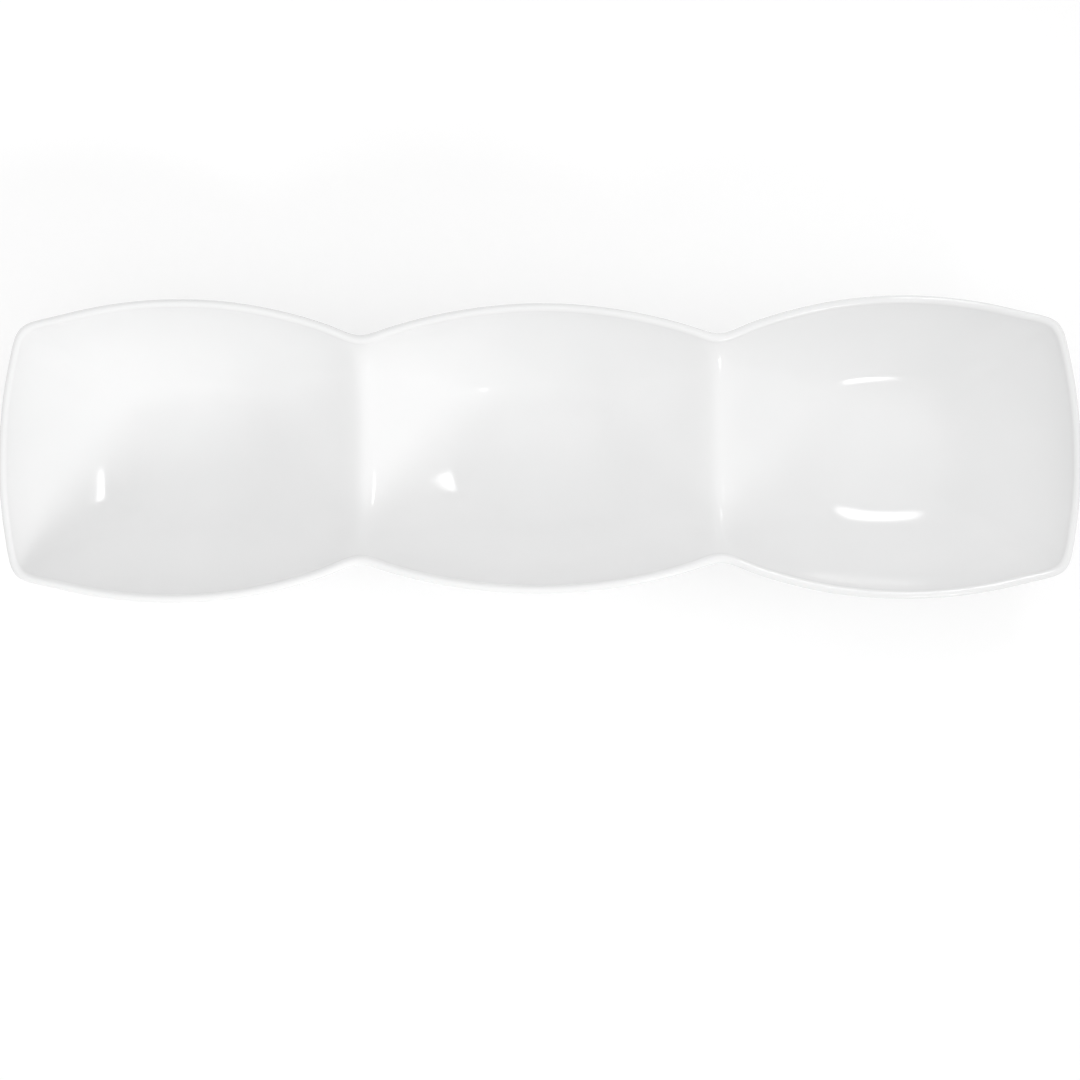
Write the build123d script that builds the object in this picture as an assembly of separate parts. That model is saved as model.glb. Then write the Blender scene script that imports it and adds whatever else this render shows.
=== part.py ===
from build123d import *
import os
from math import cos, pi, sin, sqrt, tau

# A three-bowl divided serving dish in glazed porcelain, seen as one row of bowls along X.
# Millimetres, +Z up, the table at z = 0, the middle of the centre bowl over the origin.

# Plan sizes, all taken on the outside of the rim
LENGTH = 381.0            # over the two end bulges
END_WIDTH = 107.0         # across the left and right bowls
CENTRE_WIDTH = 102.0      # across the centre bowl, a little narrower
SIDE_BULGE = 200.0        # radius of the long sides of each bowl
END_BULGE = 184.0         # radius of the two short ends
WAIST_OVERLAP = 16.0      # how far a bowl's wall would run past the waist if no neighbour met it
CORNER_SHARPNESS = 16.0   # power that joins the sides, higher gives tighter corners

# Heights of the rim, which dips at the waists and the ends and crests beside each bowl
CENTRE_CREST = 48.2
END_CREST = 46.0
WAIST_RIM = 44.2
END_RIM = 43.0

# Walls
PROFILE_POWER = 1.76      # how the wall leans out from the foot, upright near the rim
LIP = 3.0                 # thickness at the rim
LIP_FLAT = 0.8            # what is left flat between the two rounded edges of the lip
FLOOR_THICKNESS = 5.0     # between the well and the recess under it
WELL_HALF = 24.5          # half the width of the flat well, before its edge is rounded
WELL_ROUND = 18.0         # rounding where the well turns up into the wall
ARCH_ROUND = 10.0         # rounding under each divider
RIDGE_ROUND = 13.0        # rounding over each divider
DIVIDER_HALF = 8.0        # half the length of the dish that is counted as a divider

# Foot rings
FOOT_HEIGHT = 3.0
FOOT_HALF = 26.5          # half the width where the ring leaves the bowl
FOOT_FLARE = 2.0          # how far the outer side draws in on its way down
FOOT_LAND = 4.0           # width of the bare face that stands on the table
FOOT_DRAFT = 1.2          # how far the inner side draws in on its way up
FOOT_ROUND = 1.2          # rounding of the bearing edges
FOOT_SQUARENESS = 3.0     # 2 would be a circle, higher is squarer

# Derived sizes
BOWL_PITCH = LENGTH / 3   # middle of one bowl to the middle of the next
WAIST = BOWL_PITCH / 2
WAIST_REACH = WAIST + WAIST_OVERLAP
LIP_ROUND = (LIP - LIP_FLAT) / 2
WELL_HEIGHT = FOOT_HEIGHT + FLOOR_THICKNESS
PROFILE_TOP = CENTRE_CREST + 4.8
QUARTER_POINTS = 16       # points on each quarter of a section
SECTIONS = 6


def squircle(angle, half):
    """Reach of a rounded square from its middle."""
    n = FOOT_SQUARENESS
    return half * (abs(cos(angle)) ** n + abs(sin(angle)) ** n) ** (-1 / n)


def side_reach(apex, bulge, angle):
    """Reach to a bulged side whose nearest point is at the apex."""
    back = bulge - apex
    return sqrt(bulge ** 2 - (back * sin(angle)) ** 2) - back * cos(angle)


def pillow(angle, east, west, half_width, inset):
    """Reach of a four-sided outline with bulged sides and rounded corners."""
    reaches = (
        side_reach(east, END_BULGE - inset, angle),
        side_reach(west, END_BULGE - inset, angle - pi),
        side_reach(half_width, SIDE_BULGE - inset, angle - pi / 2),
        side_reach(half_width, SIDE_BULGE - inset, angle + pi / 2),
    )
    return sum(r ** -CORNER_SHARPNESS for r in reaches) ** (-1 / CORNER_SHARPNESS)


def opened(z, base):
    """Share of the way from the base outline to the full outline at a height."""
    return 1 - ((PROFILE_TOP - z) / (PROFILE_TOP - base)) ** PROFILE_POWER


def full_size(size, z, half, base):
    """Size at the top of the profile that gives the wanted size at a height."""
    return half + (size - half) / opened(z, base)


def bowl_body(x, east, west, half_width, half, base, inset):
    """Solid bowl, from a rounded square at the base to the pillow outline at the top."""
    wires = []
    count = 4 * QUARTER_POINTS
    angles = [tau * i / count for i in range(count)]
    steps = [i / count for i in range(count + 1)]
    for level in range(SECTIONS):
        rise = level / (SECTIONS - 1)
        z = base + (PROFILE_TOP - base) * rise
        share = 1 - (1 - rise) ** PROFILE_POWER
        points = []
        for angle in angles:
            foot = squircle(angle, half)
            full = pillow(angle, east, west, half_width, inset)
            reach = foot + (full - foot) * share
            points.append(Vector(x + reach * cos(angle), reach * sin(angle), z))
        wires.append(Wire([Edge.make_spline(points, periodic=True, parameters=steps)]))
    return Solid.make_loft(wires)


def three_bowls(inset, half, base, blend):
    """The three bowls joined, with the seams between neighbours rounded."""
    end = full_size(LENGTH / 2 - BOWL_PITCH - inset, END_RIM - LIP_ROUND, half, base)
    waist = full_size(WAIST_REACH - inset, END_CREST, half, base)
    end_width = full_size(END_WIDTH / 2 - inset, END_CREST - LIP_ROUND, half, base)
    centre_width = full_size(CENTRE_WIDTH / 2 - inset, CENTRE_CREST - LIP_ROUND, half, base)
    left = bowl_body(-BOWL_PITCH, waist, end, end_width, half, base, inset)
    centre = bowl_body(0, waist, waist, centre_width, half, base, inset)
    right = bowl_body(BOWL_PITCH, end, waist, end_width, half, base, inset)
    joined = left.fuse(centre, right)
    seams = [e for e in joined.edges()
             if abs(abs(e.center().X) - WAIST) < 6 and e.bounding_box().size.Z > 10]
    return joined.fillet(blend, seams)


outside = three_bowls(0, FOOT_HALF, FOOT_HEIGHT, ARCH_ROUND)
inside = three_bowls(LIP, WELL_HALF, WELL_HEIGHT, RIDGE_ROUND)
well_edges = [e for e in inside.edges() if e.bounding_box().max.Z < WELL_HEIGHT + 0.01]
inside = inside.fillet(WELL_ROUND, well_edges)

# Everything above the rim line is cut away: it waves along X and is level across Y.
reach = LENGTH / 2 + 20
end_fall = END_RIM - 0.8
rim_line = Edge.make_spline([
    Vector(-reach, -reach, end_fall),
    Vector(-LENGTH / 2, -reach, END_RIM),
    Vector(-BOWL_PITCH, -reach, END_CREST),
    Vector(-WAIST, -reach, WAIST_RIM),
    Vector(0, -reach, CENTRE_CREST),
    Vector(WAIST, -reach, WAIST_RIM),
    Vector(BOWL_PITCH, -reach, END_CREST),
    Vector(LENGTH / 2, -reach, END_RIM),
    Vector(reach, -reach, end_fall),
])
sky = Polyline(
    (reach, -reach, end_fall),
    (reach, -reach, PROFILE_TOP + 20),
    (-reach, -reach, PROFILE_TOP + 20),
    (-reach, -reach, end_fall),
)
above_rim = extrude(make_face([rim_line] + sky.edges()), amount=2 * reach, dir=(0, 1, 0))
dish = Part() + outside - above_rim - inside
lip = max((f for f in dish.faces() if len(f.edges()) > 12), key=lambda f: f.center().Z)
dish = fillet(lip.edges(), LIP_ROUND)


def stretch(west, east):
    """The part of the dish between two planes across its length."""
    slab = Box(east - west, 2 * reach, 2 * reach)
    return dish & Pos((west + east) / 2, 0, 0) * slab


def squircle_wire(half, z):
    """A rounded square as one closed curve."""
    points = []
    for i in range(4 * QUARTER_POINTS):
        angle = tau * i / (4 * QUARTER_POINTS)
        reach = squircle(angle, half)
        points.append(Vector(reach * cos(angle), reach * sin(angle), z))
    return Wire([Edge.make_spline(points, periodic=True)])


def foot_ring():
    """Ring under a bowl: it flares up to meet the bowl and stands on a bare land."""
    land = FOOT_HALF - FOOT_FLARE
    hole = land - FOOT_LAND
    solid = Solid.make_loft([squircle_wire(land, 0), squircle_wire(FOOT_HALF, FOOT_HEIGHT)])
    core = Solid.make_loft([squircle_wire(hole, 0), squircle_wire(hole - FOOT_DRAFT, FOOT_HEIGHT)])
    ring = Part() + solid - core
    edges = [e for e in ring.edges() if e.bounding_box().max.Z < 0.01]
    return fillet(edges, FOOT_ROUND)


inner_cut = WAIST - DIVIDER_HALF
outer_cut = WAIST + DIVIDER_HALF
ring = foot_ring()
parts = {
    "left_bowl": stretch(-reach, -outer_cut),
    "left_divider": stretch(-outer_cut, -inner_cut),
    "centre_bowl": stretch(-inner_cut, inner_cut),
    "right_divider": stretch(inner_cut, outer_cut),
    "right_bowl": stretch(outer_cut, reach),
    "left_foot_ring": Pos(-BOWL_PITCH, 0, 0) * ring,
    "centre_foot_ring": ring,
    "right_foot_ring": Pos(BOWL_PITCH, 0, 0) * ring,
}

os.makedirs("parts", exist_ok=True)
for name, shape in parts.items():
    export_step(shape, f"parts/{name}.step")
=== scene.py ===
"""Divided serving dish in white glazed porcelain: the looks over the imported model."""
import math

import bmesh
import bpy
import numpy as np
from bpy.props import FloatProperty, FloatVectorProperty, IntProperty, PointerProperty
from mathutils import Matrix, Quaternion, Vector
from mathutils.bvhtree import BVHTree


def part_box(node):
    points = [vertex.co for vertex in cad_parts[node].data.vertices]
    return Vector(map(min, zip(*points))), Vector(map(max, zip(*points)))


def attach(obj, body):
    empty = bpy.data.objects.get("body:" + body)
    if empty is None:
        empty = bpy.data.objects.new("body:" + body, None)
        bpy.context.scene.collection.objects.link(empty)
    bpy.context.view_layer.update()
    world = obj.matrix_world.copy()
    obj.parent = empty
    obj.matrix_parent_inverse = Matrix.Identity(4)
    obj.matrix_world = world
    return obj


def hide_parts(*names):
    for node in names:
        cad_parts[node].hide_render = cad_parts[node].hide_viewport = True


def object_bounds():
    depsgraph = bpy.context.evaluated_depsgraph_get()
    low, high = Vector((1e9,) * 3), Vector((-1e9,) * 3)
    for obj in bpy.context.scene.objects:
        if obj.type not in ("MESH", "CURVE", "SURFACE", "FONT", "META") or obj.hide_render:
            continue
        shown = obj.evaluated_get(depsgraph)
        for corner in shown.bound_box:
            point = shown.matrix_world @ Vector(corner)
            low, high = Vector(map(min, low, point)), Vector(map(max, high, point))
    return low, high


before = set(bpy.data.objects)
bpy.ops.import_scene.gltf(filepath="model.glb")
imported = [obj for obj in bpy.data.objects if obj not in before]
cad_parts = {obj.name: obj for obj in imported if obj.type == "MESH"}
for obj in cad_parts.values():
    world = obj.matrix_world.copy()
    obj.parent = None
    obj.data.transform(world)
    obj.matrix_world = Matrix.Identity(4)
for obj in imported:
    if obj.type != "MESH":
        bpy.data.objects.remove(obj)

bl_info = {
    "name": "Divided Serving Dish",
    "version": (1, 0, 0),
    "blender": (4, 5, 0),
    "location": "View3D > Sidebar > Dish",
    "description": "Glazed porcelain dish of three bowls on three foot rings, with its studio",
    "category": "Object",
}

CAD_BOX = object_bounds()
BODY_NODES = ("left_bowl", "left_divider", "centre_bowl", "right_divider", "right_bowl")
RING_NODES = ("left_foot_ring", "centre_foot_ring", "right_foot_ring")
RING_LOW, RING_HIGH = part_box("right_foot_ring")
BOWL_PITCH = (RING_LOW.x + RING_HIGH.x) / 2
FOOT_HALF = (RING_HIGH.x - RING_LOW.x) / 2
MM = 0.001
DOWN = Vector((0, 0, -1))
ABOVE_DISH = 0.1                  # height from which rays are sent down
BELOW_DISH = -0.01                # height from which rays are sent up

# How the skin of the body is laid on the solids
FIRST_RIM = 40 * MM               # first guess at the height of the rim
RIM_PASSES = 3                    # how often that guess is bettered
PAST_FACE = 0.2 * MM              # how far beyond a face the next ray starts
COLUMN_CORNER = math.radians(39)  # turn from the end of the dish at which the columns are closest
CORNER_CROWDING = 0.6             # share of the steps round an end that gather at the corners
WAIST_CROWDING = 0.5              # share of the steps along a side that gather at the waists
RIM_CROWDING = 0.25               # share of the steps down a wall that gather at the rim
FAIRING_PASSES = 4
RIM_ROWS_KEPT = 3                 # rows at the rim that fairing down the wall leaves alone
WELL_ROWS_KEPT = 6                # rows in the middle of the dish that fairing leaves alone
LIP_STEPS = 8                     # steps over the rounded top of the rim
WELD = 0.02 * MM                  # points closer than this are made one

# Where the skin leaves the solids
CORNER_TURN = math.radians(38)    # where an outer corner lies, seen from the middle of its bowl
CORNER_SPAN = math.radians(6.5)   # how far to either side of it the corner is drawn out
CORNER_WAY = math.radians(43.6)   # the way in which it is drawn out
CORNER_POWER = 1.5                # how fast that fades from the rim down to the foot
RIDGE_TOP = 33 * MM               # height up to which a divider counts as a ridge
RIM_BLEND = 9 * MM                # height over which the ridge turns into the rim
WAIST_PASSES = 8                  # how often the turn of the rim at a waist is evened
WAIST_POWER = 3                   # how closely the shift of the waists keeps to the rim
WELL_TOP = 28 * MM                # height below which the wells are eased
WELL_BLEND = 12 * MM              # height over which that grows to its full share
WELL_SPOTS = ((0.5, 6), (1.0, 12))  # rings round a point: share of the width, and spots on the ring

# Finishes
GLAZE_IOR = 1.52
NOISE_LOW = 0.3                   # most of a noise's values lie between these two
NOISE_HIGH = 0.7
PEEL_SHARE = 0.12                 # how much the finer waviness adds to the slow one
RIPPLE_HEIGHT = 0.3 * MM
GRIT_SHADE = 0.86                 # how dark the grit of the clay is beside the clay
GRIT_STRENGTH = 0.35
GRIT_HEIGHT = 0.1 * MM

# Foot rings
FOOT_STEPS = 128                  # steps round a ring
LAND_TOP = 0.12 * MM              # faces below this that look down are bare clay
LAND_LOOKS_DOWN = -0.8

# Studio
FLOOR_SIZE = 6.0
FLOOR_SEEN = (0.6, 0.6, 0.6, 1.0)  # the floor's own colour, to the camera and in reflections
FLOOR_GLOW = 0.45                 # what is added to it there, so that it reaches white
WHITE = (1.0, 1.0, 1.0, 1.0)
SENSOR_WIDTH = 36
PICTURE_SHIFT = -0.0851           # places the dish above the middle of the picture
RIM_MIDDLE = 44 * MM              # height of the point that the camera faces


class DishSettings(bpy.types.PropertyGroup):
    """Sizes and colours of the porcelain."""

    lip_depth: FloatProperty(
        name="Lip depth", description="Height of the rounded top of the rim",
        default=1.8 * MM, min=0.0005, max=0.004, subtype="DISTANCE", unit="LENGTH")
    corner_reach: FloatProperty(
        name="Corner reach",
        description="How far the four outer corners are drawn out, for a tighter turn of the rim",
        default=2.5 * MM, min=0.0, max=0.006, subtype="DISTANCE", unit="LENGTH")
    well_softness: FloatProperty(
        name="Well softness", description="Reach of the easing between the floor of a well and its wall",
        default=6.0 * MM, min=0.0, max=0.015, subtype="DISTANCE", unit="LENGTH")
    waist_width: FloatProperty(
        name="Waist width", description="Half the length of the rim that is rounded at each waist",
        default=7.0 * MM, min=0.001, max=0.02, subtype="DISTANCE", unit="LENGTH")
    waist_shift: FloatProperty(
        name="Waist shift", description="How far the rim's waists are moved away from the middle",
        default=2.7 * MM, min=0.0, max=0.006, subtype="DISTANCE", unit="LENGTH")
    ridge_rise: FloatProperty(
        name="Ridge rise", description="How much higher the crest of a divider is for its sharper ridge",
        default=1.2 * MM, min=0.0, max=0.003, subtype="DISTANCE", unit="LENGTH")
    ridge_width: FloatProperty(
        name="Ridge width", description="Half the width of the raised crest of a divider",
        default=4.0 * MM, min=0.001, max=0.01, subtype="DISTANCE", unit="LENGTH")
    side_columns: IntProperty(
        name="Side columns",
        description="Steps along a long side between the middles of the end bowls, a multiple of four",
        default=88, min=24, max=160)
    cap_columns: IntProperty(
        name="End columns", description="Steps round each end of the dish, a multiple of four",
        default=56, min=16, max=120)
    wall_rows: IntProperty(
        name="Wall rows", description="Steps from the rim down to the middle of a well",
        default=30, min=12, max=60)
    foot_squareness: FloatProperty(
        name="Foot squareness", description="2 is a round foot ring, higher is squarer",
        default=3.0, min=2.0, max=8.0)
    glaze_colour: FloatVectorProperty(
        name="Glaze", description="Colour of the glazed porcelain",
        default=(0.90, 0.90, 0.90, 1.0), size=4, min=0.0, max=1.0, subtype="COLOR")
    pool_colour: FloatVectorProperty(
        name="Thick glaze", description="Colour where the glaze has run thicker, a little cooler",
        default=(0.874, 0.876, 0.876, 1.0), size=4, min=0.0, max=1.0, subtype="COLOR")
    clay_colour: FloatVectorProperty(
        name="Bare clay", description="Colour of the unglazed face that the feet stand on",
        default=(0.72, 0.69, 0.64, 1.0), size=4, min=0.0, max=1.0, subtype="COLOR")
    glaze_ripple: FloatProperty(
        name="Glaze ripple", description="Strength of the faint waviness of the glaze",
        default=0.10, min=0.0, max=1.0, subtype="FACTOR")


class StudioSettings(bpy.types.PropertyGroup):
    """Floor, lamps and camera."""

    floor_colour: FloatVectorProperty(
        name="Floor", description="Colour of the floor",
        default=(0.90, 0.90, 0.90, 1.0), size=4, min=0.0, max=1.0, subtype="COLOR")
    sky_level: FloatProperty(
        name="Overhead light", description="Strength of the soft light from straight above",
        default=1.055, min=0.0, max=3.0)
    horizon_level: FloatProperty(
        name="Horizon light", description="Strength of the soft light from the horizon",
        default=0.52, min=0.0, max=3.0)
    key_power: FloatProperty(
        name="Soft lamp", description="Power of the large soft lamp in front and to the right",
        default=0.155, min=0.0, max=100.0, unit="POWER")
    strip_power: FloatProperty(
        name="Small lamps", description="Power of which each of the four smaller lamps takes a share",
        default=0.4, min=0.0, max=100.0, unit="POWER")
    camera_lens: FloatProperty(
        name="Lens", description="Focal length of the camera in millimetres on a 36 mm sensor",
        default=59.55, min=10.0, max=300.0)
    camera_distance: FloatProperty(
        name="Camera distance", description="From the camera to the middle of the rim",
        default=0.625, min=0.1, max=5.0, subtype="DISTANCE", unit="LENGTH")
    camera_elevation: FloatProperty(
        name="Camera elevation", description="How far the camera stands above the horizon",
        default=math.radians(85.4), min=0.0, max=math.radians(90.0), subtype="ANGLE", unit="ROTATION")
    camera_roll: FloatProperty(
        name="Camera roll", description="How far the picture is turned in its frame",
        default=math.radians(0.3), subtype="ANGLE", unit="ROTATION")


def clear_selection():
    """Leave edit mode and select nothing."""
    if bpy.context.object and bpy.context.object.mode != "OBJECT":
        bpy.ops.object.mode_set(mode="OBJECT")
    bpy.ops.object.select_all(action="DESELECT")


def new_piece(name):
    """Name the primitive that was just added."""
    piece = bpy.context.object
    piece.name = name
    piece.data.name = name
    return piece


def apply_modifier(piece, kind, **values):
    """Add a modifier with the given values and apply it."""
    bpy.context.view_layer.objects.active = piece
    modifier = piece.modifiers.new(kind.title(), kind)
    for key, value in values.items():
        setattr(modifier, key, value)
    bpy.ops.object.modifier_apply(modifier=modifier.name)


def faces_of_solids(names):
    """Search tree over the faces of the named solids, for finding where their surfaces are."""
    points = []
    faces = []
    for name in names:
        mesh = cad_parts[name].data
        start = len(points)
        points += [v.co.copy() for v in mesh.vertices]
        faces += [[start + i for i in p.vertices] for p in mesh.polygons]
    return BVHTree.FromPolygons(points, faces)


def through_wall(tree, origin, way):
    """Points where a ray from inside a bowl meets the inner and the outer face of its wall."""
    inner = tree.ray_cast(origin, way)[0]
    if inner is None:
        raise RuntimeError("a ray from the spine of the dish met no wall")
    start = inner + way * PAST_FACE
    outer = tree.ray_cast(start, way)[0]
    if outer is None:
        raise RuntimeError("a ray through the wall of the dish did not come out")
    return inner, outer


def end_turns(columns):
    """Angles round one end of the dish, closer together near its two corners."""
    quarter = columns // 4
    right = math.pi / 2

    def gathered(t):
        return (1 - CORNER_CROWDING) * t + CORNER_CROWDING * math.sin(right * t)

    turns = [-right + (right - COLUMN_CORNER) * gathered(i / quarter) for i in range(quarter)]
    turns += [-COLUMN_CORNER * gathered(1 - i / quarter) for i in range(quarter)]
    return turns + [0.0] + [-turn for turn in turns[:0:-1]]


def side_steps(columns):
    """Places along the spine from one end bowl to the other, closer together near the waists."""
    waist = BOWL_PITCH / 2
    quarter = columns // 4

    def gathered(t):
        return (1 - WAIST_CROWDING) * t + WAIST_CROWDING * t * t

    away = [waist * gathered(i / quarter) for i in range(quarter + 1)]
    left = [-waist - d for d in away[:0:-1]] + [-waist + d for d in away]
    return left[:-1] + [0.0] + [-x for x in left[-2:0:-1]]


def stations(settings):
    """Points on the spine with the way out from each, anticlockwise from the front left."""
    along = side_steps(settings.side_columns)
    turns = end_turns(settings.cap_columns)
    found = [(Vector((x, 0, 0)), Vector((0, -1, 0))) for x in along]
    found += [(Vector((BOWL_PITCH, 0, 0)), Vector((math.cos(a), math.sin(a), 0))) for a in turns]
    found += [(Vector((-x, 0, 0)), Vector((0, 1, 0))) for x in along]
    found += [(Vector((-BOWL_PITCH, 0, 0)), Vector((-math.cos(a), -math.sin(a), 0))) for a in turns]
    return found


def rim_height(tree, spine, way, lip_depth):
    """Height of the top of the lip at a station."""
    top = FIRST_RIM
    for _ in range(RIM_PASSES):
        level = spine + Vector((0, 0, top - lip_depth))
        inner, outer = through_wall(tree, level, way)
        above = (inner + outer) / 2
        above.z = ABOVE_DISH
        hit = tree.ray_cast(above, DOWN)[0]
        if hit is None:
            raise RuntimeError("the lip of the dish was not found")
        top = hit.z
    return top


def fair(points, axis):
    """Take out unevenness from point to point, along a row (axis 1) or down the wall (axis 0)."""
    def shifted(step):
        return np.roll(points, step, axis)

    # These weights leave an even curve as it is
    even = (10 * points + 4 * (shifted(1) + shifted(-1)) - shifted(2) - shifted(-2)) / 16
    first = 0 if axis else RIM_ROWS_KEPT
    result = points.copy()
    result[first:-WELL_ROWS_KEPT] = even[first:-WELL_ROWS_KEPT]
    return result


def draw_out_corners(points, reach):
    """Move the four outer corners of the dish outwards, most at the rim and not at all at the foot."""
    side = np.sign(points[..., 0])
    face = np.sign(points[..., 1])
    turn = np.arctan2(np.abs(points[..., 1]), np.abs(points[..., 0]) - BOWL_PITCH)
    rise = (points[..., 2] / CAD_BOX[1].z) ** CORNER_POWER
    push = reach * rise * np.exp(-((turn - CORNER_TURN) / CORNER_SPAN) ** 2)
    points[..., 0] += side * push * math.cos(CORNER_WAY)
    points[..., 1] += face * push * math.sin(CORNER_WAY)


def rim_share(points):
    """Zero on the ridges of the dividers and below them, one near the rim."""
    return np.clip((points[..., 2] - RIDGE_TOP) / RIM_BLEND, 0.0, 1.0)


def sharpen_ridges(points, rise, width):
    """Raise the crest of each divider, for a sharper ridge between two bowls."""
    away = (np.abs(points[..., 0]) - BOWL_PITCH / 2) / width
    points[..., 2] += rise * (1 - rim_share(points)) * np.exp(-away ** 2)


def ease_waists(points, width):
    """Round the turn of the rim where two bowls meet, and leave the ridge below it."""
    near_rim = rim_share(points)
    for _ in range(WAIST_PASSES):
        away = (np.abs(points[..., 0]) - BOWL_PITCH / 2) / width
        share = (near_rim * np.exp(-away ** 2))[..., None]
        even = (np.roll(points, 1, 1) + 2 * points + np.roll(points, -1, 1)) / 4
        points += share * (even - points)


def set_waists(points, shift, half_width):
    """Move the rim's waists away from the middle, so that each divider runs straight across."""
    along = np.clip(np.abs(points[..., 0]) / BOWL_PITCH, 0.0, 1.0)
    across = np.clip(np.abs(points[..., 1]) / half_width, 0.0, 1.0)
    side = np.sign(points[..., 0])
    points[..., 0] += side * shift * np.sin(math.pi * along) ** 2 * across ** WAIST_POWER


def soften_wells(points, tree, width):
    """Ease the floor of each well into its wall, by the mean height of the wall round each point."""
    spots = [(0.0, 0.0)]
    for ring, count in WELL_SPOTS:
        for i in range(count):
            turn = math.tau * i / count
            spots.append((ring * width * math.cos(turn), ring * width * math.sin(turn)))
    for point in points.reshape(-1, 3):
        share = (WELL_TOP - point[2]) / WELL_BLEND
        if share <= 0:
            continue
        share = min(share, 1.0)
        share = share * share * (3 - 2 * share)
        heights = []
        for dx, dy in spots:
            hit = tree.ray_cast(Vector((point[0] + dx, point[1] + dy, ABOVE_DISH)), DOWN)[0]
            if hit is None:
                raise RuntimeError("no floor was found in a well")
            heights.append(hit.z)
        point[2] += share * (sum(heights) / len(heights) - heights[0])


def body_points(settings):
    """Rows of points that run up the outside, over the lip and down into the wells."""
    tree = faces_of_solids(BODY_NODES)
    rows = settings.wall_rows
    depth = settings.lip_depth
    places = stations(settings)
    inner = np.zeros((rows + 1, len(places), 3))
    outer = np.zeros((rows + 1, len(places), 3))
    for column, (spine, way) in enumerate(places):
        top = rim_height(tree, spine, way, depth)
        origin = spine + Vector((0, 0, top - depth))
        for row in range(rows + 1):
            t = row / rows
            fall = math.pi / 2 * ((1 - RIM_CROWDING) * t + RIM_CROWDING * t * t)
            ray = way * math.cos(fall) + DOWN * math.sin(fall)
            inner[row, column], outer[row, column] = through_wall(tree, origin, ray)
    soften_wells(inner, tree, settings.well_softness)
    for _ in range(FAIRING_PASSES):
        inner = fair(fair(inner, 1), 0)
        outer = fair(fair(outer, 1), 0)
    rim_waist = np.abs(outer[0, :, 1])[np.abs(outer[0, :, 0]) < BOWL_PITCH].min()
    for wall in (inner, outer):
        ease_waists(wall, settings.waist_width)
        set_waists(wall, settings.waist_shift, rim_waist)
        draw_out_corners(wall, settings.corner_reach)
    sharpen_ridges(inner, settings.ridge_rise, settings.ridge_width)
    middle = (inner[0] + outer[0]) / 2
    half = (outer[0] - inner[0]) / 2
    lip = []
    for step in range(1, LIP_STEPS):
        turn = math.pi * step / LIP_STEPS
        rise = np.array((0, 0, depth * math.sin(turn)))
        lip.append(middle + half * math.cos(turn) + rise)
    return np.concatenate((outer[::-1], np.array(lip), inner))


def noise_node(nodes, scale, detail, roughness):
    """A noise texture with its plain values set."""
    node = nodes.new("ShaderNodeTexNoise")
    node.inputs["Scale"].default_value = scale
    node.inputs["Detail"].default_value = detail
    node.inputs["Roughness"].default_value = roughness
    return node


def glaze_skin_group():
    """Shared effect: slow drift of the glaze's thickness, its faint waviness and its dulled patches."""
    name = "Glaze Skin"
    if name in bpy.data.node_groups:
        return bpy.data.node_groups[name]
    group = bpy.data.node_groups.new(name, "ShaderNodeTree")
    face = group.interface
    face.new_socket("Vector", in_out="INPUT", socket_type="NodeSocketVector")
    for label in ("Thick", "Dull", "Ripple"):
        face.new_socket(label, in_out="OUTPUT", socket_type="NodeSocketFloat")
    nodes = group.nodes
    links = group.links
    start = nodes.new("NodeGroupInput")
    end = nodes.new("NodeGroupOutput")
    drift = noise_node(nodes, scale=22, detail=2, roughness=0.5)
    patch = noise_node(nodes, scale=60, detail=4, roughness=0.6)
    wave = noise_node(nodes, scale=75, detail=1, roughness=0.3)
    peel = noise_node(nodes, scale=420, detail=1, roughness=0.4)
    small = nodes.new("ShaderNodeMath")
    small.operation = "MULTIPLY_ADD"
    small.inputs[1].default_value = PEEL_SHARE
    for texture in (drift, patch, wave, peel):
        links.new(start.outputs["Vector"], texture.inputs["Vector"])
    links.new(peel.outputs["Fac"], small.inputs[0])
    links.new(wave.outputs["Fac"], small.inputs[2])
    links.new(drift.outputs["Fac"], end.inputs["Thick"])
    links.new(patch.outputs["Fac"], end.inputs["Dull"])
    links.new(small.outputs[0], end.inputs["Ripple"])
    return group


def spread_range(nodes, low, high):
    """Map the middle of a noise's range to a range of values."""
    node = nodes.new("ShaderNodeMapRange")
    node.inputs["From Min"].default_value = NOISE_LOW
    node.inputs["From Max"].default_value = NOISE_HIGH
    node.inputs["To Min"].default_value = low
    node.inputs["To Max"].default_value = high
    return node


def glaze_material(settings):
    """White glazed porcelain."""
    name = "White glaze"
    if name in bpy.data.materials:
        return bpy.data.materials[name]
    material = bpy.data.materials.new(name)
    material.use_nodes = True
    nodes = material.node_tree.nodes
    links = material.node_tree.links
    shader = nodes["Principled BSDF"]
    shader.inputs["IOR"].default_value = GLAZE_IOR
    place = nodes.new("ShaderNodeTexCoord")
    skin = nodes.new("ShaderNodeGroup")
    skin.node_tree = glaze_skin_group()
    links.new(place.outputs["Object"], skin.inputs["Vector"])
    amount = spread_range(nodes, low=0.0, high=1.0)
    colour = nodes.new("ShaderNodeMix")
    colour.data_type = "RGBA"
    colour.inputs["A"].default_value = settings.glaze_colour
    colour.inputs["B"].default_value = settings.pool_colour
    links.new(skin.outputs["Thick"], amount.inputs["Value"])
    links.new(amount.outputs["Result"], colour.inputs["Factor"])
    links.new(colour.outputs["Result"], shader.inputs["Base Color"])
    dull = spread_range(nodes, low=0.05, high=0.11)
    links.new(skin.outputs["Dull"], dull.inputs["Value"])
    links.new(dull.outputs["Result"], shader.inputs["Roughness"])
    bump = nodes.new("ShaderNodeBump")
    bump.inputs["Strength"].default_value = settings.glaze_ripple
    bump.inputs["Distance"].default_value = RIPPLE_HEIGHT
    links.new(skin.outputs["Ripple"], bump.inputs["Height"])
    links.new(bump.outputs["Normal"], shader.inputs["Normal"])
    return material


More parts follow.
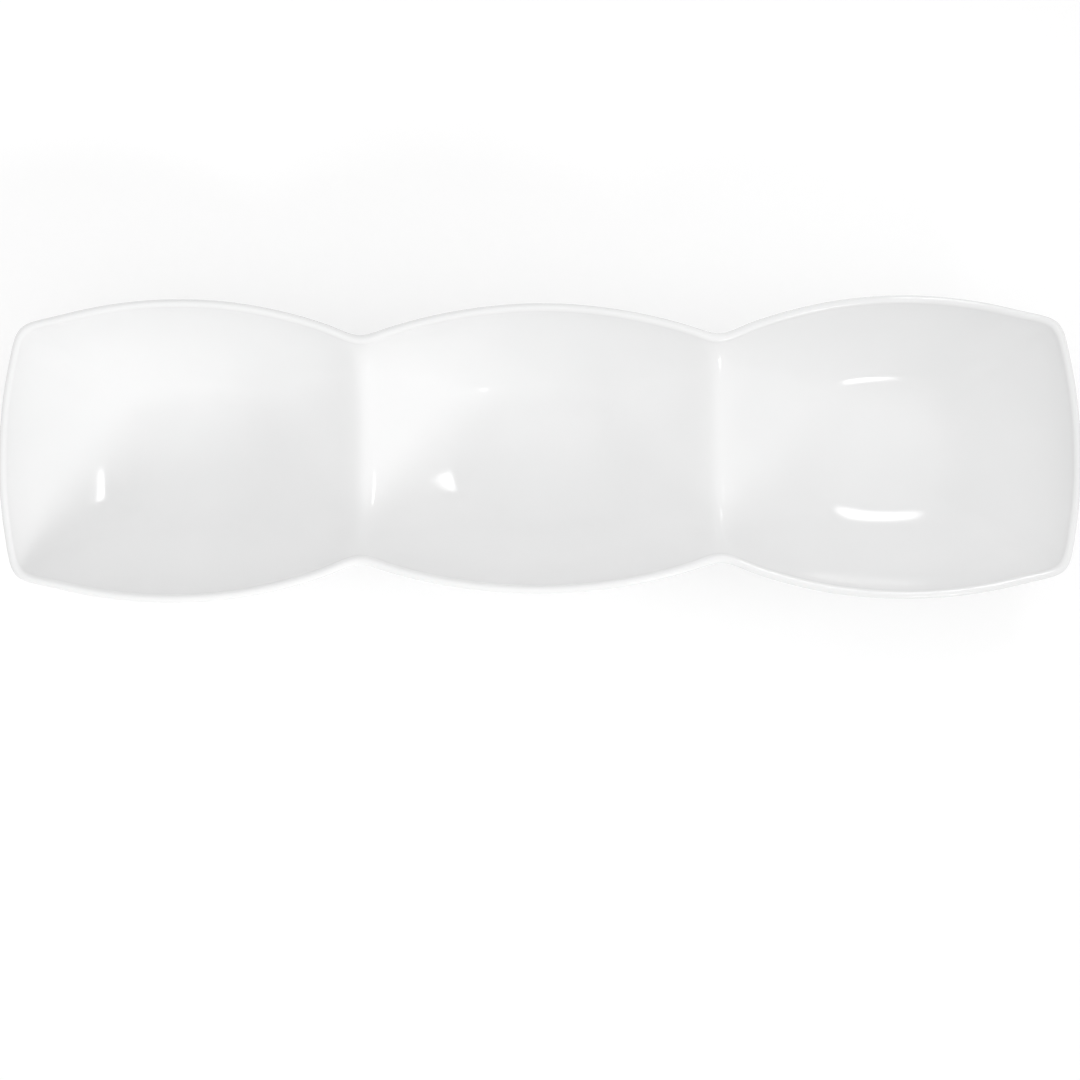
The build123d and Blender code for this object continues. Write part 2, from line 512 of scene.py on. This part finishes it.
def clay_material(settings):
    """Bare fired clay on the faces that stand on the table."""
    name = "Bare clay"
    if name in bpy.data.materials:
        return bpy.data.materials[name]
    material = bpy.data.materials.new(name)
    material.use_nodes = True
    nodes = material.node_tree.nodes
    links = material.node_tree.links
    shader = nodes["Principled BSDF"]
    place = nodes.new("ShaderNodeTexCoord")
    skin = nodes.new("ShaderNodeGroup")
    skin.node_tree = glaze_skin_group()
    links.new(place.outputs["Object"], skin.inputs["Vector"])
    grit = noise_node(nodes, scale=2600, detail=3, roughness=0.7)
    links.new(place.outputs["Object"], grit.inputs["Vector"])
    shade = nodes.new("ShaderNodeMix")
    shade.data_type = "RGBA"
    shade.inputs["A"].default_value = settings.clay_colour
    shade.inputs["B"].default_value = [GRIT_SHADE * c for c in settings.clay_colour[:3]] + [1.0]
    amount = spread_range(nodes, low=0.0, high=1.0)
    links.new(grit.outputs["Fac"], amount.inputs["Value"])
    links.new(amount.outputs["Result"], shade.inputs["Factor"])
    links.new(shade.outputs["Result"], shader.inputs["Base Color"])
    dull = spread_range(nodes, low=0.75, high=0.95)
    links.new(skin.outputs["Dull"], dull.inputs["Value"])
    links.new(dull.outputs["Result"], shader.inputs["Roughness"])
    bump = nodes.new("ShaderNodeBump")
    bump.inputs["Strength"].default_value = GRIT_STRENGTH
    bump.inputs["Distance"].default_value = GRIT_HEIGHT
    links.new(grit.outputs["Fac"], bump.inputs["Height"])
    links.new(bump.outputs["Normal"], shader.inputs["Normal"])
    return material


class DISH_OT_porcelain_body(bpy.types.Operator):
    """Make the glazed shell of the three bowls and the two dividers between them"""

    bl_idname = "dish.porcelain_body"
    bl_label = "Porcelain Body"
    bl_options = {"REGISTER", "UNDO"}

    def execute(self, context):
        settings = context.scene.dish_settings
        points = body_points(settings)
        rows, columns = points.shape[:2]
        clear_selection()
        bpy.ops.mesh.primitive_grid_add(
            x_subdivisions=columns, y_subdivisions=rows - 1, size=1, location=(0, 0, 0))
        body = new_piece("porcelain_body")
        for vertex in body.data.vertices:
            column = round((vertex.co.x + 0.5) * columns) % columns
            row = round((vertex.co.y + 0.5) * (rows - 1))
            vertex.co = points[row, column]
        bpy.ops.object.mode_set(mode="EDIT")
        bpy.ops.mesh.select_all(action="SELECT")
        bpy.ops.mesh.remove_doubles(threshold=WELD)
        bpy.ops.mesh.normals_make_consistent(inside=False)
        bpy.ops.object.mode_set(mode="OBJECT")
        self.check_closed(body)
        apply_modifier(body, "SUBSURF", levels=1, render_levels=1)
        bpy.ops.object.shade_smooth()
        body.data.materials.append(glaze_material(settings))
        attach(body, "root")
        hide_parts(*BODY_NODES)
        return {"FINISHED"}

    def check_closed(self, body):
        """Stop if the shell has an open edge."""
        shell = bmesh.new()
        shell.from_mesh(body.data)
        gaps = sum(not edge.is_manifold for edge in shell.edges)
        shell.free()
        if gaps:
            raise RuntimeError(f"the shell of the dish has {gaps} open edges")


class DISH_OT_foot_rings(bpy.types.Operator):
    """Make the three foot rings with their bare standing faces"""

    bl_idname = "dish.foot_rings"
    bl_label = "Foot Rings"
    bl_options = {"REGISTER", "UNDO"}

    def place_loop(self, ring, middle, squareness, reach, height):
        """Put the selected loop on a rounded square, at a height or on the wall above it."""
        mesh = bmesh.from_edit_mesh(ring.data)
        for vertex in mesh.verts:
            if not vertex.select:
                continue
            out = Vector((vertex.co.x - middle, vertex.co.y))
            turn = math.atan2(out.y, out.x)
            n = squareness
            size = reach * (abs(math.cos(turn)) ** n + abs(math.sin(turn)) ** n) ** (-1 / n)
            vertex.co.x = middle + size * math.cos(turn)
            vertex.co.y = size * math.sin(turn)
            vertex.co.z = height(vertex.co)
        bmesh.update_edit_mesh(ring.data)

    def ring_loops(self, tree):
        """Loops of the ring from its inner top, round the standing face and out on to the wall.

        Each is an offset from half the width of the foot, in millimetres, and the height there.
        """
        def level(z):
            return lambda point: z * MM

        def on_wall(sink):
            def height(point):
                hit = tree.ray_cast(Vector((point.x, point.y, BELOW_DISH)), -DOWN)[0]
                if hit is None:
                    raise RuntimeError("a foot ring missed the wall above it")
                return hit.z + sink * MM
            return height

        return (
            (-7.2, level(3.5)), (-6.9, level(2.2)), (-6.5, level(1.2)), (-6.05, level(0.45)),
            (-5.4, level(0.06)), (-4.6, level(0.0)), (-4.0, level(0.0)), (-3.4, level(0.0)),
            (-2.75, level(0.06)), (-2.05, level(0.4)), (-1.4, level(1.1)), (-0.75, level(2.1)),
            (-0.25, level(2.75)), (0.35, on_wall(-0.12)), (1.0, on_wall(0.0)), (1.9, on_wall(0.45)),
        )

    def execute(self, context):
        settings = context.scene.dish_settings
        squareness = settings.foot_squareness
        loops = self.ring_loops(faces_of_solids(BODY_NODES))
        for node in RING_NODES:
            low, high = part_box(node)
            middle = (low.x + high.x) / 2
            clear_selection()
            bpy.ops.mesh.primitive_circle_add(
                vertices=FOOT_STEPS, radius=FOOT_HALF, fill_type="NOTHING", location=(middle, 0, 0))
            ring = new_piece(node.replace("_ring", "_rim"))
            bpy.ops.object.transform_apply(location=True, rotation=True, scale=True)
            bpy.ops.object.mode_set(mode="EDIT")
            bpy.ops.mesh.select_all(action="SELECT")
            for index, (offset, height) in enumerate(loops):
                if index:
                    bpy.ops.mesh.extrude_region_move()
                self.place_loop(ring, middle, squareness, FOOT_HALF + offset * MM, height)
            bpy.ops.mesh.select_all(action="DESELECT")
            bpy.ops.mesh.select_non_manifold()
            bpy.ops.mesh.bridge_edge_loops()
            bpy.ops.mesh.select_all(action="SELECT")
            bpy.ops.mesh.normals_make_consistent(inside=False)
            bpy.ops.object.mode_set(mode="OBJECT")
            apply_modifier(ring, "SUBSURF", levels=1, render_levels=1)
            bpy.ops.object.shade_smooth()
            ring.data.materials.append(glaze_material(settings))
            ring.data.materials.append(clay_material(settings))
            for face in ring.data.polygons:
                if face.center.z < LAND_TOP and face.normal.z < LAND_LOOKS_DOWN:
                    face.material_index = 1
            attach(ring, "root")
            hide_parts(node)
        return {"FINISHED"}


def floor_material(settings):
    """Pale floor that the camera and the glaze see as white, and that keeps the dish's shadow."""
    material = bpy.data.materials.new("Studio floor")
    material.use_nodes = True
    nodes = material.node_tree.nodes
    links = material.node_tree.links
    lit = nodes["Principled BSDF"]
    lit.inputs["Base Color"].default_value = settings.floor_colour
    lit.inputs["Roughness"].default_value = 1.0
    lit.inputs["Specular IOR Level"].default_value = 0.0
    seen = nodes.new("ShaderNodeBsdfPrincipled")
    seen.inputs["Base Color"].default_value = FLOOR_SEEN
    seen.inputs["Roughness"].default_value = 1.0
    seen.inputs["Specular IOR Level"].default_value = 0.0
    seen.inputs["Emission Color"].default_value = WHITE
    seen.inputs["Emission Strength"].default_value = FLOOR_GLOW
    choose = nodes.new("ShaderNodeMixShader")
    links.new(seen_by_camera(nodes, links), choose.inputs["Fac"])
    links.new(lit.outputs["BSDF"], choose.inputs[1])
    links.new(seen.outputs["BSDF"], choose.inputs[2])
    links.new(choose.outputs["Shader"], nodes["Material Output"].inputs["Surface"])
    return material


def seen_by_camera(nodes, links):
    """One for rays from the camera, from reflections and through glass, none for other light."""
    path = nodes.new("ShaderNodeLightPath")
    shiny = nodes.new("ShaderNodeMath")
    shiny.operation = "MAXIMUM"
    clear = nodes.new("ShaderNodeMath")
    clear.operation = "MAXIMUM"
    links.new(path.outputs["Is Camera Ray"], shiny.inputs[0])
    links.new(path.outputs["Is Glossy Ray"], shiny.inputs[1])
    links.new(shiny.outputs[0], clear.inputs[0])
    links.new(path.outputs["Is Transmission Ray"], clear.inputs[1])
    return clear.outputs[0]


def soft_lamp(name, place, aim, size, power, spread, lights=True, glints=True):
    """A rectangular soft lamp that faces a point, with a beam of some degrees.

    One that only lights draws no glint in the glaze, and one that only glints sheds no light on it.
    """
    clear_selection()
    bpy.ops.object.light_add(type="AREA", location=place)
    lamp = bpy.context.object
    lamp.name = name
    lamp.data.shape = "RECTANGLE"
    lamp.data.size = size[0]
    lamp.data.size_y = size[1]
    lamp.data.energy = power
    lamp.data.spread = math.radians(spread)
    lamp.visible_diffuse = lights
    lamp.visible_glossy = glints
    lamp.rotation_euler = (Vector(aim) - Vector(place)).to_track_quat("-Z", "Y").to_euler()


class DISH_OT_studio(bpy.types.Operator):
    """Make the pale floor, the soft lamps and the camera"""

    bl_idname = "dish.studio"
    bl_label = "Studio"
    bl_options = {"REGISTER", "UNDO"}

    def execute(self, context):
        settings = context.scene.studio_settings
        clear_selection()
        bpy.ops.mesh.primitive_plane_add(size=FLOOR_SIZE, location=(0, 0, 0))
        floor = new_piece("studio_floor")
        floor.data.materials.append(floor_material(settings))
        self.light_room(context.scene, settings)
        self.hang_lamps(settings)
        self.place_camera(context.scene, settings)
        context.scene.view_settings.view_transform = "Standard"
        return {"FINISHED"}

    def hang_lamps(self, settings):
        """A large lamp lights the dish, and four smaller ones draw its glints and lift the right bowl."""
        small = settings.strip_power
        soft_lamp("soft_lamp", place=(0.56, -0.95, 0.64), aim=(-0.15, 0, 0.03), size=(0.3, 0.3),
                  power=settings.key_power, spread=29, glints=False)
        soft_lamp("right_strip", place=(0.40, 0.13, 0.38), aim=(-0.09, 0, 0.02), size=(0.12, 0.03),
                  power=0.006 * small, spread=26)
        soft_lamp("front_strip", place=(0.32, -0.57, 0.28), aim=(0.12, 0.03, 0.02), size=(0.17, 0.18),
                  power=0.036 * small, spread=21, lights=False)
        soft_lamp("back_panel", place=(0.24, 0.33, 0.50), aim=(0.135, -0.02, 0.01), size=(0.24, 0.34),
                  power=0.045 * small, spread=22, glints=False)
        soft_lamp("back_card", place=(0.193, 0.119, 0.1606), aim=(0.135, -0.03, 0.015), size=(0.11, 0.13),
                  power=0.036 * small, spread=30, lights=False)

    def light_room(self, scene, settings):
        """Soft light from all round, brighter overhead, with a room that is seen as white."""
        world = bpy.data.worlds.new("Studio room")
        scene.world = world
        world.use_nodes = True
        nodes = world.node_tree.nodes
        links = world.node_tree.links
        back = nodes["Background"]
        back.inputs["Color"].default_value = WHITE
        way = nodes.new("ShaderNodeTexCoord")
        parts = nodes.new("ShaderNodeSeparateXYZ")
        rise = nodes.new("ShaderNodeMapRange")
        rise.inputs["To Min"].default_value = settings.horizon_level
        rise.inputs["To Max"].default_value = settings.sky_level
        level = nodes.new("ShaderNodeMix")
        level.inputs["B"].default_value = 1.0
        links.new(way.outputs["Generated"], parts.inputs["Vector"])
        links.new(parts.outputs["Z"], rise.inputs["Value"])
        links.new(seen_by_camera(nodes, links), level.inputs["Factor"])
        links.new(rise.outputs["Result"], level.inputs["A"])
        links.new(level.outputs["Result"], back.inputs["Strength"])

    def place_camera(self, scene, settings):
        """Camera almost overhead, a little to the front, as in the photograph."""
        data = bpy.data.cameras.new("dish_camera")
        camera = bpy.data.objects.new("dish_camera", data)
        scene.collection.objects.link(camera)
        data.sensor_width = SENSOR_WIDTH
        data.lens = settings.camera_lens
        data.shift_y = PICTURE_SHIFT
        rise = settings.camera_elevation
        out = Vector((0, -math.cos(rise), math.sin(rise)))
        target = Vector((0, 0, RIM_MIDDLE))
        camera.location = target + out * settings.camera_distance
        roll = Quaternion((0, 0, 1), -settings.camera_roll)
        camera.rotation_euler = ((-out).to_track_quat("-Z", "Y") @ roll).to_euler()
        data.clip_start = 0.01
        data.clip_end = 50
        scene.camera = camera


class DISH_PT_panel(bpy.types.Panel):
    """The sizes and colours of the dish and its studio, and the steps that make them"""

    bl_idname = "DISH_PT_panel"
    bl_label = "Divided Serving Dish"
    bl_space_type = "VIEW_3D"
    bl_region_type = "UI"
    bl_category = "Dish"

    def draw(self, context):
        layout = self.layout
        dish = context.scene.dish_settings
        studio = context.scene.studio_settings
        for group in (dish, studio):
            column = layout.column(align=True)
            for key in group.__annotations__:
                column.prop(group, key)
        for operator in OPERATORS:
            layout.operator(operator.bl_idname)


OPERATORS = (DISH_OT_porcelain_body, DISH_OT_foot_rings, DISH_OT_studio)
CLASSES = (DishSettings, StudioSettings) + OPERATORS + (DISH_PT_panel,)


def register():
    """Make the settings, operators and panel known to Blender."""
    for cls in CLASSES:
        bpy.utils.register_class(cls)
    bpy.types.Scene.dish_settings = PointerProperty(type=DishSettings)
    bpy.types.Scene.studio_settings = PointerProperty(type=StudioSettings)


def unregister():
    """Take them away again."""
    del bpy.types.Scene.studio_settings
    del bpy.types.Scene.dish_settings
    for cls in reversed(CLASSES):
        bpy.utils.unregister_class(cls)


def main():
    """Make the dish and its studio."""
    register()
    bpy.ops.dish.porcelain_body()
    bpy.ops.dish.foot_rings()
    bpy.ops.dish.studio()


if __name__ == "__main__":
    main()
